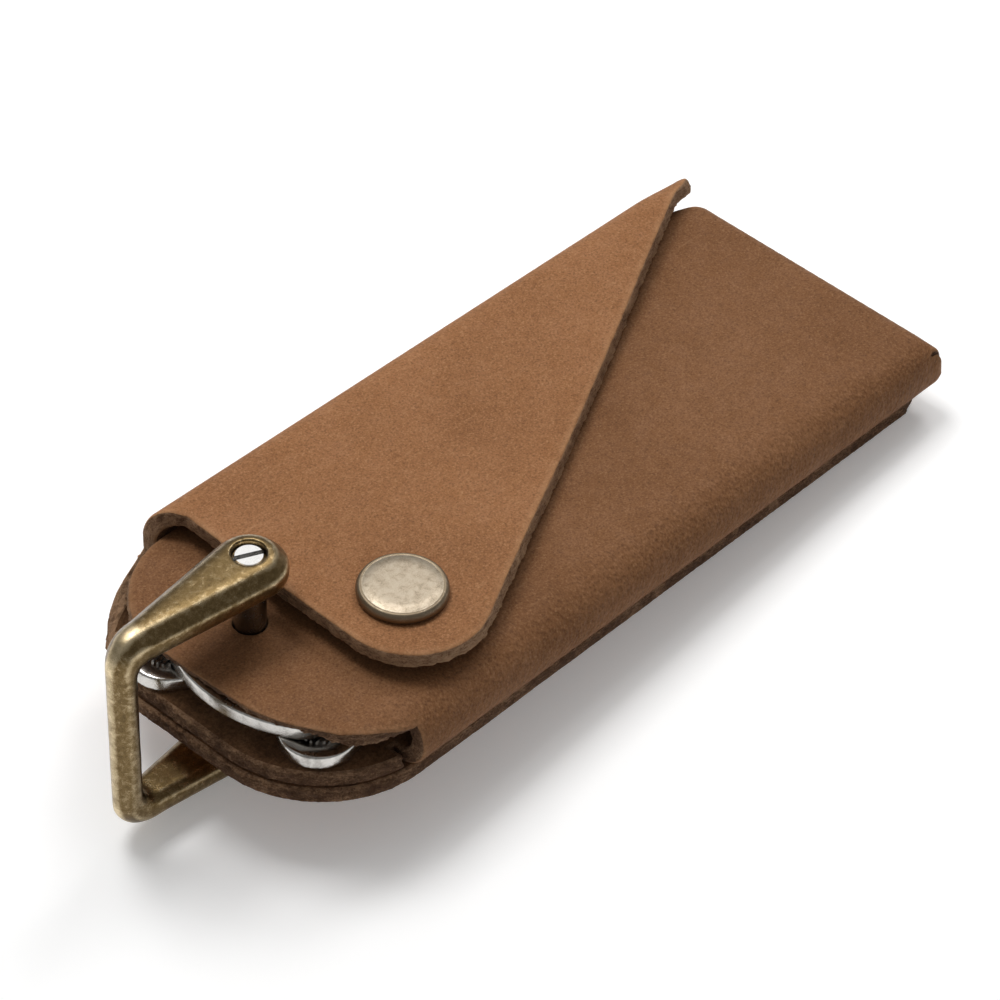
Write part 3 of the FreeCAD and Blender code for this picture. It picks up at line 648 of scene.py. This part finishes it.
def flapPoint(x, y, n):
    s = flapSheet
    if y < s["bend"]:
        away = math.hypot(x - s["snap"][0], y - s["snap"][1])
        sag = s["sag"] * smooth(8, 32, away) * smooth(1, 17, s["bend"] - y)
        dish = s["dish"] * math.exp(-((away - 4.5) / 2.5) ** 2)
        fade = smooth(0, 5, s["bend"] - y)
        return (x, y, s["high"] + n - sag - dish + ripple(x, y, s["wave"], s["waveSeed"]) * fade)
    run = y - s["bend"]
    if run < wallTurn:
        angle, reach = run / s["radius"], s["radius"] + n
        drop = s["tipDrop"] * smooth(80, 88.5, x) * math.sin(angle * 2)
        bentY = s["bend"] + reach * math.sin(angle)
        return (x, bentY - drop * 0.5, s["wallTop"] + reach * math.cos(angle) - drop)
    return (x, s["bend"] + s["radius"] + n, s["wallTop"] - (run - wallTurn))


def buildFlap():
    s = flapSheet
    wallRow = s["bend"] + wallTurn
    lowRow = wallRow + s["wallTop"] - backSheet["wallMiddle"]
    centreX, centreY = s["left"] + s["corner"], s["front"] + s["corner"]
    runX, runY = s["tip"][0] - centreX, s["tip"][1] - centreY
    reach = math.hypot(runX, runY)
    leave = math.degrees(math.atan2(runY, runX) - math.acos(s["corner"] / reach))
    corners = s["tipEdge"] + [(backSheet["wallRight"], lowRow), (backSheet["leftEnd"][0][0], lowRow),
                              (s["crestLeft"], lowRow - s["crestDrop"]), (s["crestLeft"], wallRow)]
    corners += s["crestEdge"] + [(s["left"], s["leftTop"])]
    corners += arcCorners(centreX, centreY, s["corner"], 180, 360 + leave, 30)
    piece = cutSheet("leatherFlap", corners, [], flapPoint, {**leatherCut, "materials": flapMaterials},
                     seam=lambda x, y: y > lowRow - seamNear, flatOf=flatBack,
                     leanAt=lambda x, y: s["cutLean"] * smooth(10, 20, x) * smooth(17, 14, y))
    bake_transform(piece)
    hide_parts("flap", "upper_fold")


buildFlap()
print("leather pieces ready")

# metals, coloured in the place of each piece; the shackle's proud edges are brighter, partly real wear and partly
# a painted highlight, and the cap's rim darker
# the brass's light shade is the colour of a highlight, painted onto its proud edges
metalLook = {"brass": (tone(80, 65, 41), tone(117, 97, 64), tone(222, 203, 166)),
             "cap": (tone(130, 116, 96), tone(170, 157, 138), tone(188, 176, 158)),
             "nickel": (tone(150, 146, 140), tone(205, 202, 197), tone(232, 230, 226)),
             "steel": (tone(224, 222, 218), tone(240, 238, 235), tone(248, 247, 245)),
             "paintedShadeLevel": 0.3, "scratchDepth": 0.00003, "speckDepth": 0.00005}


def makeMetal(name, shades, rough, stainScale, scratch, wear, grit, paintedShadeBelow=None):
    material, tree, shader = startMaterial(name)
    coords = tree.nodes.new("ShaderNodeTexCoord")
    place = stretchNode(tree, coords.outputs["Object"], (1000, 1000, 1000))
    edge = attributeNode(tree, "edgeTint").outputs["Fac"]
    stain = noiseNode(tree, place, stainScale, 6, 0.62, 0.4)
    speck = noiseNode(tree, place, stainScale * 7, 4, 0.6)
    both = weighNode(tree, stain, speck, grit)
    level = mathNode(tree, "ADD", both, mathNode(tree, "MULTIPLY", edge, wear))
    dark, middle, light = shades
    colour = rampNode(tree, level, [(0.33, dark), (0.52, middle), (0.95, light)])
    if paintedShadeBelow:
        # painted shade below a height: the slot's floor and the post under the head are coloured darker, where
        # they lie in shade and mirror the dark leather
        heights = tree.nodes.new("ShaderNodeSeparateXYZ")
        tree.links.new(place, heights.inputs[0])
        paintedShadeFactor = rangeNode(tree, heights.outputs[2], *paintedShadeBelow, metalLook["paintedShadeLevel"], 1.0)
        colour = mixNode(tree, 1.0, colour, paintedShadeFactor, "MULTIPLY")
    feed(tree, shader.inputs["Base Color"], colour)
    shader.inputs["Metallic"].default_value = 1.0
    feed(tree, shader.inputs["Roughness"], rangeNode(tree, both, 0.3, 0.7, rough + 0.12, rough - 0.06))
    lines = noiseNode(tree, stretchNode(tree, place, (0.4, 6, 6), (0.2, 0.1, 0.4)), 1.2, 3, 0.6)
    normal = bumpNode(tree, lines, metalLook["scratchDepth"], scratch)
    normal = bumpNode(tree, speck, metalLook["speckDepth"], grit, normal)
    feed(tree, shader.inputs["Normal"], normal)
    return material


# the brass's proud edges take the light shade: partly real wear, partly a painted highlight
brass = makeMetal("antiqueBrass", metalLook["brass"], rough=0.28, stainScale=1.3, scratch=0.25, wear=0.9, grit=0.4)
# the pin is coloured darker below the top of its head: painted shade
pinSteel = makeMetal("pinSteel", metalLook["steel"], rough=0.2, stainScale=0.6, scratch=0.1, wear=0.0, grit=0.08,
                     paintedShadeBelow=(27.4, 27.75))
capBrass = makeMetal("capBrass", metalLook["cap"], rough=0.42, stainScale=1.2, scratch=0.15, wear=-0.6, grit=0.4)
nickel = makeMetal("nickel", metalLook["nickel"], rough=0.2, stainScale=0.5, scratch=0.3, wear=0.6, grit=0.25)
steel = makeMetal("steel", metalLook["steel"], rough=0.22, stainScale=0.6, scratch=0.12, wear=0.0, grit=0.08)
metalOf = {"pivot_pin": pinSteel, "snap_socket": capBrass, "snap_stud": capBrass, "snap_rivet": capBrass,
           "snap_spring": steel}
for nodeName, metal in metalOf.items():
    mesh = nodes[nodeName].data
    mesh.materials.clear()
    mesh.materials.append(metal)
print("metal materials ready")

# shackle: the solid's own form with its bevels run soft, as a cast and tumbled piece
shackleCast = {"voxel": 0.2, "rounds": 16, "wearAndHighlightRounds": 24, "holeKeep": (2.1, 2.9), "ease": (0.25, 0.5),
               "eye": 4.2, "neck": 1.6, "bar": -19.75, "height": 28.4, "arm": 4.0,
               "crown": 0.5, "crownRun": 2.3, "crownStart": (2, 3),
               "dent": 0.03, "dentScale": 0.45, "wearAndHighlightDepth": 0.1, "wearAndHighlightFrom": 0.4}


def relax(points, links, count, share):
    total = np.zeros_like(points)
    np.add.at(total, links[:, 0], points[links[:, 1]])
    np.add.at(total, links[:, 1], points[links[:, 0]])
    return points + (total / count[:, None] - points) * share[:, None]


def crownArms(points):
    # the arms' outer faces fall away towards their edges
    s = shackleCast
    x, y, z = points.T
    slope = (s["eye"] - s["neck"]) / -s["bar"]
    width = s["eye"] + x * slope
    inFrom = np.where(x < 0, width - np.abs(y), s["eye"] - np.hypot(x, y))
    share = np.clip(inFrom / s["crownRun"], 0, 1)
    start, run = s["crownStart"]
    fall = s["crown"] * (1 - share * share * (3 - 2 * share)) * np.clip((x - s["bar"] - start) / run, 0, 1)
    upper = np.clip((z - s["height"] + s["arm"]) / s["arm"], 0, 1)
    lower = np.clip((s["arm"] - z) / s["arm"], 0, 1)
    points[:, 2] += fall * (lower - upper)
    return points


def buildShackle():
    s = shackleCast
    rough = bpy.data.objects.new("shackleRough", nodes["shackle"].data.copy())
    scene.collection.objects.link(rough)
    remesh = rough.modifiers.new("remesh", "REMESH")
    remesh.mode = "VOXEL"
    remesh.voxel_size = s["voxel"] * mm
    mesh = bpy.data.meshes.new_from_object(rough.evaluated_get(bpy.context.evaluated_depsgraph_get()))
    bpy.data.objects.remove(rough)
    mesh.name = "brassShackle"
    points = np.empty(len(mesh.vertices) * 3)
    mesh.vertices.foreach_get("co", points)
    points = points.reshape(-1, 3) / mm
    links = np.empty(len(mesh.edges) * 2, int)
    mesh.edges.foreach_get("vertices", links)
    links = links.reshape(-1, 2)
    count = np.maximum(np.bincount(links.ravel(), minlength=len(points)), 1)
    low, high = s["holeKeep"]
    least, most = s["ease"]
    free = np.clip((np.hypot(points[:, 0], points[:, 1]) - low) / (high - low), least, 1) * most
    points = crownArms(points)
    for step in range(s["rounds"]):
        points = relax(points, links, count, free)
    apart = Vector((9, 2, 4))  # so that the two dents differ
    spots = [Vector(point) * s["dentScale"] for point in points]
    dent = s["dent"]
    points += np.array([[dent * noise.noise(spot), 0, dent * noise.noise(spot + apart)] for spot in spots])
    mesh.vertices.foreach_set("co", (points * mm).ravel())
    mesh.update()
    # edges that stand proud are marked for the brighter colour: partly real wear, partly a painted highlight
    softer = points.copy()
    for step in range(s["wearAndHighlightRounds"]):
        softer = relax(softer, links, count, free)
    normals = np.empty(len(points) * 3)
    mesh.vertices.foreach_get("normal", normals)
    proud = ((points - softer) * normals.reshape(-1, 3)).sum(1) / s["wearAndHighlightDepth"]
    addValues(mesh, "edgeTint", np.clip(proud - s["wearAndHighlightFrom"], 0, 1))
    mesh.materials.clear()
    mesh.materials.append(brass)
    mesh.polygons.foreach_set("use_smooth", [True] * len(mesh.polygons))
    piece = placePiece("brassShackle", mesh, len(mesh.polygons))
    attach(piece, "shackle")
    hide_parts("shackle")


buildShackle()

# snap cap: a flat face inside a domed rim, spun; the rim is coloured darker than the face
snapCap = {"place": (12.0, -10.7), "steps": 96, "faceEnd": 4, "rimTint": 0.35,
           "profile": [(1.6, 23.22), (3.0, 23.21), (4.22, 23.16), (4.32, 23.1), (4.4, 23.12), (4.54, 23.16),
                       (4.7, 23.08), (4.85, 22.92), (4.96, 22.68), (5.0, 22.38), (4.95, 22.02), (4.8, 21.86),
                       (2.6, 21.95), (1.0, 21.95), (1.0, 20.8)]}


def buildCap():
    s = snapCap
    centreX, centreY = s["place"]
    verts, wear = [], []
    for number, (radius, height) in enumerate(s["profile"]):
        for x, y in arcCorners(centreX, centreY, radius, 0, 360, s["steps"])[:-1]:
            verts.append(Vector((x, y, height)) * mm)
            wear.append(0.0 if number < s["faceEnd"] else s["rimTint"])
    rows, steps = len(s["profile"]), s["steps"]

    def ringPoint(row, k):
        return row * steps + k % steps

    faces = [(ringPoint(row, k), ringPoint(row + 1, k), ringPoint(row + 1, k + 1), ringPoint(row, k + 1))
             for row in range(rows - 1) for k in range(steps)]
    for row, height, turn in ((0, s["profile"][0][1], 1), (rows - 1, s["profile"][-1][1], -1)):
        middle = len(verts)
        verts.append(Vector((centreX, centreY, height)) * mm)
        wear.append(0.0)
        faces += [(middle, ringPoint(row, k), ringPoint(row, k + 1))[::turn] for k in range(steps)]
    mesh = bpy.data.meshes.new("snapCap")
    mesh.from_pydata(verts, [], faces)
    addValues(mesh, "edgeTint", wear)
    mesh.materials.append(capBrass)
    mesh.polygons.foreach_set("use_smooth", [True] * len(faces))
    mesh.set_sharp_from_angle(angle=math.radians(60))
    piece = placePiece("snapCapFace", mesh, len(faces))
    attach(piece, "flap")
    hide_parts("snap_cap")


buildCap()

# keys: stamped blanks with a raised rim round the bow, cuts along the blade and a milled groove
keyCommon = {"bowLength": 22.0, "corner": 4.4, "rimWidth": 1.6, "recess": 0.3, "blade": 4.0, "tip": 46.0,
             "tooth": 1.9, "hole": 2.1, "groove": (0.4, 2.0), "grooveDepth": 0.6, "slope": 0.3}
keyCut = {"thick": 1.9, "rim": 0.3, "step": 0.4, "grid": 0.6, "fray": 0.0, "slot": "key_metal",
          "materials": [nickel, nickel, nickel]}
keyKinds = {"upper_key": {"piece": "nickelKeyUpper", "low": 13.75, "width": 24.0, "offset": 2.5, "end": 8.78,
                          "dome": 18.0, "waist": None, "reach": 7.1, "turn": 0.0,
                          "cuts": [0.5, 1.0, 0.4, 0.8, 0.6]},
            "lower_key": {"piece": "nickelKeyLower", "low": 11.75, "width": 28.4, "offset": 2.5, "end": 9.3,
                          "dome": None, "waist": 4.25, "reach": 9.3, "turn": 10.9,
                          "cuts": [0.8, 0.4, 1.0, 0.5, 0.9]}}


def bowOutline(kind):
    c = keyCommon
    middle, half, corner = -kind["offset"], kind["width"] / 2, c["corner"]
    right = c["bowLength"] - kind["reach"]
    lobe = half - corner
    if kind["waist"]:
        centre = corner - kind["end"]
        span = (lobe * lobe + kind["waist"] ** 2) / (kind["waist"] * 2)
        across = span - kind["waist"]
        touch = math.degrees(math.atan2(lobe, across))
        outline = arcCorners(centre, middle + lobe, corner, 90, 180 + touch)
        outline += arcCorners(centre - across, middle, span - corner, touch, -touch)[1:-1]
        outline += arcCorners(centre, middle - lobe, corner, 180 - touch, 270)
    else:
        span = kind["dome"] - corner
        across = math.sqrt(span * span - lobe * lobe)
        middleX = kind["dome"] - kind["end"]
        touch = math.degrees(math.atan2(lobe, across))
        outline = arcCorners(middleX - across, middle + lobe, corner, 90, 180 - touch)
        outline += arcCorners(middleX, middle, kind["dome"], 180 - touch, 180 + touch, 20)[1:-1]
        outline += arcCorners(middleX - across, middle - lobe, corner, 180 + touch, 270)
    outline += arcCorners(right - corner, middle - half + corner, corner, 270, 360)
    return outline, middle, half, right


def turnKey(x, y, kind):
    turn = math.radians(kind["turn"])
    return x * math.cos(turn) - y * math.sin(turn), x * math.sin(turn) + y * math.cos(turn)


def buildKey(node):
    c, kind = keyCommon, keyKinds[node]
    outline, middle, half, right = bowOutline(kind)
    blade, tip, corner = c["blade"], c["tip"], c["corner"]
    lowEdge = middle - blade
    outline.append((right, lowEdge))
    pitch = (tip - blade - right) / (len(kind["cuts"]) + 0.6)
    for number, cut in enumerate(kind["cuts"]):
        start, depth = right + pitch * (number + 0.5), c["tooth"] * cut
        outline += [(start, lowEdge), (start + pitch * 0.3, lowEdge + depth),
                    (start + pitch * 0.6, lowEdge + depth), (start + pitch * 0.9, lowEdge)]
    outline += [(tip - blade, lowEdge), (tip, middle),
                (tip - blade * 0.6, middle + blade), (right, middle + blade)]
    outline += arcCorners(right - corner, middle + half - corner, corner, 0, 90)
    far = middle - kind["offset"]
    slot = arcCorners(0, far, c["hole"], 360, 180) + arcCorners(0, 0, c["hole"], 180, 0)
    edge = walkOutline(outline, 0.3)
    base = kind["low"] + keyCut["thick"] / 2
    rimWidth, slope = c["rimWidth"], c["slope"]

    def keyPoint(x, y, n):
        height = base + n
        if n > 0.9:
            inFrom = np.hypot(edge[:, 0] - x, edge[:, 1] - y).min()
            bow = smooth(right - rimWidth + 0.2, right - rimWidth - 0.2, x)
            height -= c["recess"] * smooth(rimWidth - slope, rimWidth + slope, inFrom) * bow
            low, high = c["groove"]
            if x > right + 0.8:
                across = y - middle
                fromLow = smooth(low - slope, low + slope, across)
                height -= c["grooveDepth"] * fromLow * smooth(high + slope, high - slope, across)
        return (*turnKey(x, y, kind), height)

    piece = cutSheet(kind["piece"], outline, [slot], keyPoint, keyCut)
    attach(piece, node)
    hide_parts(node)
    return outline, slot


# grip of the lower key: fine ribs along the key that stand in the recess of its bow
gripRibs = {"pitch": 0.62, "height": 0.26, "width": 0.36, "sink": 0.05, "endSlope": 0.12,
            "margin": 2.2, "holeMargin": 0.9, "floor": 13.65 - 0.3, "along": 30, "across": 22,
            "alongStep": 0.1, "shortest": 8}  # shortest is counted in steps along


def buildRibs(outline, slot):
    s, kind = gripRibs, keyKinds["lower_key"]
    right = keyCommon["bowLength"] - kind["reach"]
    edge, hole = walkOutline(outline, 0.3), walkOutline(slot, 0.3)
    loop, slotLoop = np.array(outline), np.array(slot)
    profile = [(-0.5, -s["sink"], 0), (-0.2, s["height"], 1), (0.2, s["height"], 1), (0.5, -s["sink"], 0)]
    verts, faces = [], []

    def addRib(first, last, offset):
        a = len(verts)
        for run, inset in ((first, s["endSlope"]), (last, -s["endSlope"])):
            for side, lift, slip in profile:
                x, y = turnKey(run + slip * inset, offset + side * s["width"], kind)
                verts.append(Vector((x, y, s["floor"] + lift)) * mm)
        faces.extend([(a, a + 1, a + 5, a + 4), (a + 1, a + 2, a + 6, a + 5), (a + 2, a + 3, a + 7, a + 6),
                      (a + 3, a, a + 4, a + 7), (a + 3, a + 2, a + 1, a), (a + 4, a + 5, a + 6, a + 7)])

    runs = np.arange(-s["along"], s["along"], s["alongStep"])
    for offset in np.arange(-s["across"], s["across"], s["pitch"]):
        spots = np.stack([runs, np.full(len(runs), offset)], 1)
        inside = insideLoop(spots, loop) & (spots[:, 0] < right - s["margin"])
        inside &= (nearest(spots, edge) > s["margin"]) & (nearest(spots, hole) > s["holeMargin"])
        inside &= ~insideLoop(spots, slotLoop)
        ends = np.flatnonzero(np.diff(np.concatenate([[0], inside.astype(int), [0]])))
        for first, last in zip(ends[::2], ends[1::2]):
            if last - first > s["shortest"]:
                addRib(runs[first], runs[last - 1], offset)
    mesh = bpy.data.meshes.new("keyGripRibs")
    mesh.from_pydata(verts, [], faces)
    mesh.materials.append(nickel)
    piece = placePiece("keyGripRibs", mesh, len(faces))
    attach(piece, "lower_key")


buildKey("upper_key")
buildRibs(*buildKey("lower_key"))
print("metal pieces ready")

# floor and soft light; the case lies tilted, on the shackle's eye and its far end
stageSetup = {"floorColour": (0.95, 0.948, 0.945), "floorGlow": 0.18, "floorReach": 3, "floorDrop": 0.0001,
              "lowX": 3.0, "highX": 86.0, "highZ": 7.6, "skyLight": 0.28}
overheadLamp = {"place": (0.25, 0.28, 0.76), "target": (0.04, 0, 0.01), "size": (0.95, 0.95), "power": 2.0}
endLamp = {"place": (0.50, 0.10, 0.72), "target": (0.0, 0, 0.01), "size": (0.24, 0.24), "power": 1.4}
backLamp = {"place": (0.02, 0.29, 0.79), "target": (0.04, 0, 0.01), "size": (0.3, 0.3), "power": 2.9}


def buildStage():
    s = stageSetup
    slope = math.atan2(s["highZ"], s["highX"] - s["lowX"])
    mesh = bpy.data.meshes.new("floor")
    reach = s["floorReach"]
    sheet = [(-reach, -reach, 0), (reach, -reach, 0), (reach, reach, 0), (-reach, reach, 0)]
    mesh.from_pydata(sheet, [], [(0, 1, 2, 3)])
    floor = bpy.data.objects.new("floor", mesh)
    low = Matrix.Translation((s["lowX"] * mm, 0, -s["floorDrop"]))
    floor.matrix_world = low @ Matrix.Rotation(-slope, 4, "Y")
    scene.collection.objects.link(floor)
    material, tree, shader = startMaterial("floorPaper")
    shader.inputs["Base Color"].default_value = (*s["floorColour"], 1)
    shader.inputs["Roughness"].default_value = 0.9
    shader.inputs["Specular IOR Level"].default_value = 0.1
    shader.inputs["Emission Color"].default_value = (1, 1, 1, 1)
    rays = tree.nodes.new("ShaderNodeLightPath")
    seen = mathNode(tree, "MAXIMUM", rays.outputs["Is Camera Ray"], rays.outputs["Is Glossy Ray"])
    seen = mathNode(tree, "MAXIMUM", seen, rays.outputs["Is Transmission Ray"])
    feed(tree, shader.inputs["Emission Strength"], rangeNode(tree, seen, 0, 1, 0, s["floorGlow"]))
    mesh.materials.append(material)
    world = bpy.data.worlds.new("studio")
    scene.world = world
    world.use_nodes = True
    background = world.node_tree.nodes["Background"]
    background.inputs["Color"].default_value = (1, 1, 1, 1)
    background.inputs["Strength"].default_value = s["skyLight"]


def addLamp(name, lampSetup):
    data = bpy.data.lights.new(name, "AREA")
    data.shape = "RECTANGLE"
    data.size, data.size_y = lampSetup["size"]
    data.energy = lampSetup["power"]
    lamp = bpy.data.objects.new(name, data)
    place, target = Vector(lampSetup["place"]), Vector(lampSetup["target"])
    facing = (place - target).to_track_quat("Z", "Y").to_matrix().to_4x4()
    lamp.matrix_world = Matrix.Translation(place) @ facing
    scene.collection.objects.link(lamp)


buildStage()
addLamp("overheadLamp", overheadLamp)
addLamp("backLamp", backLamp)
addLamp("endLamp", endLamp)
scene.view_settings.view_transform = "Standard"
print("stage and light ready")
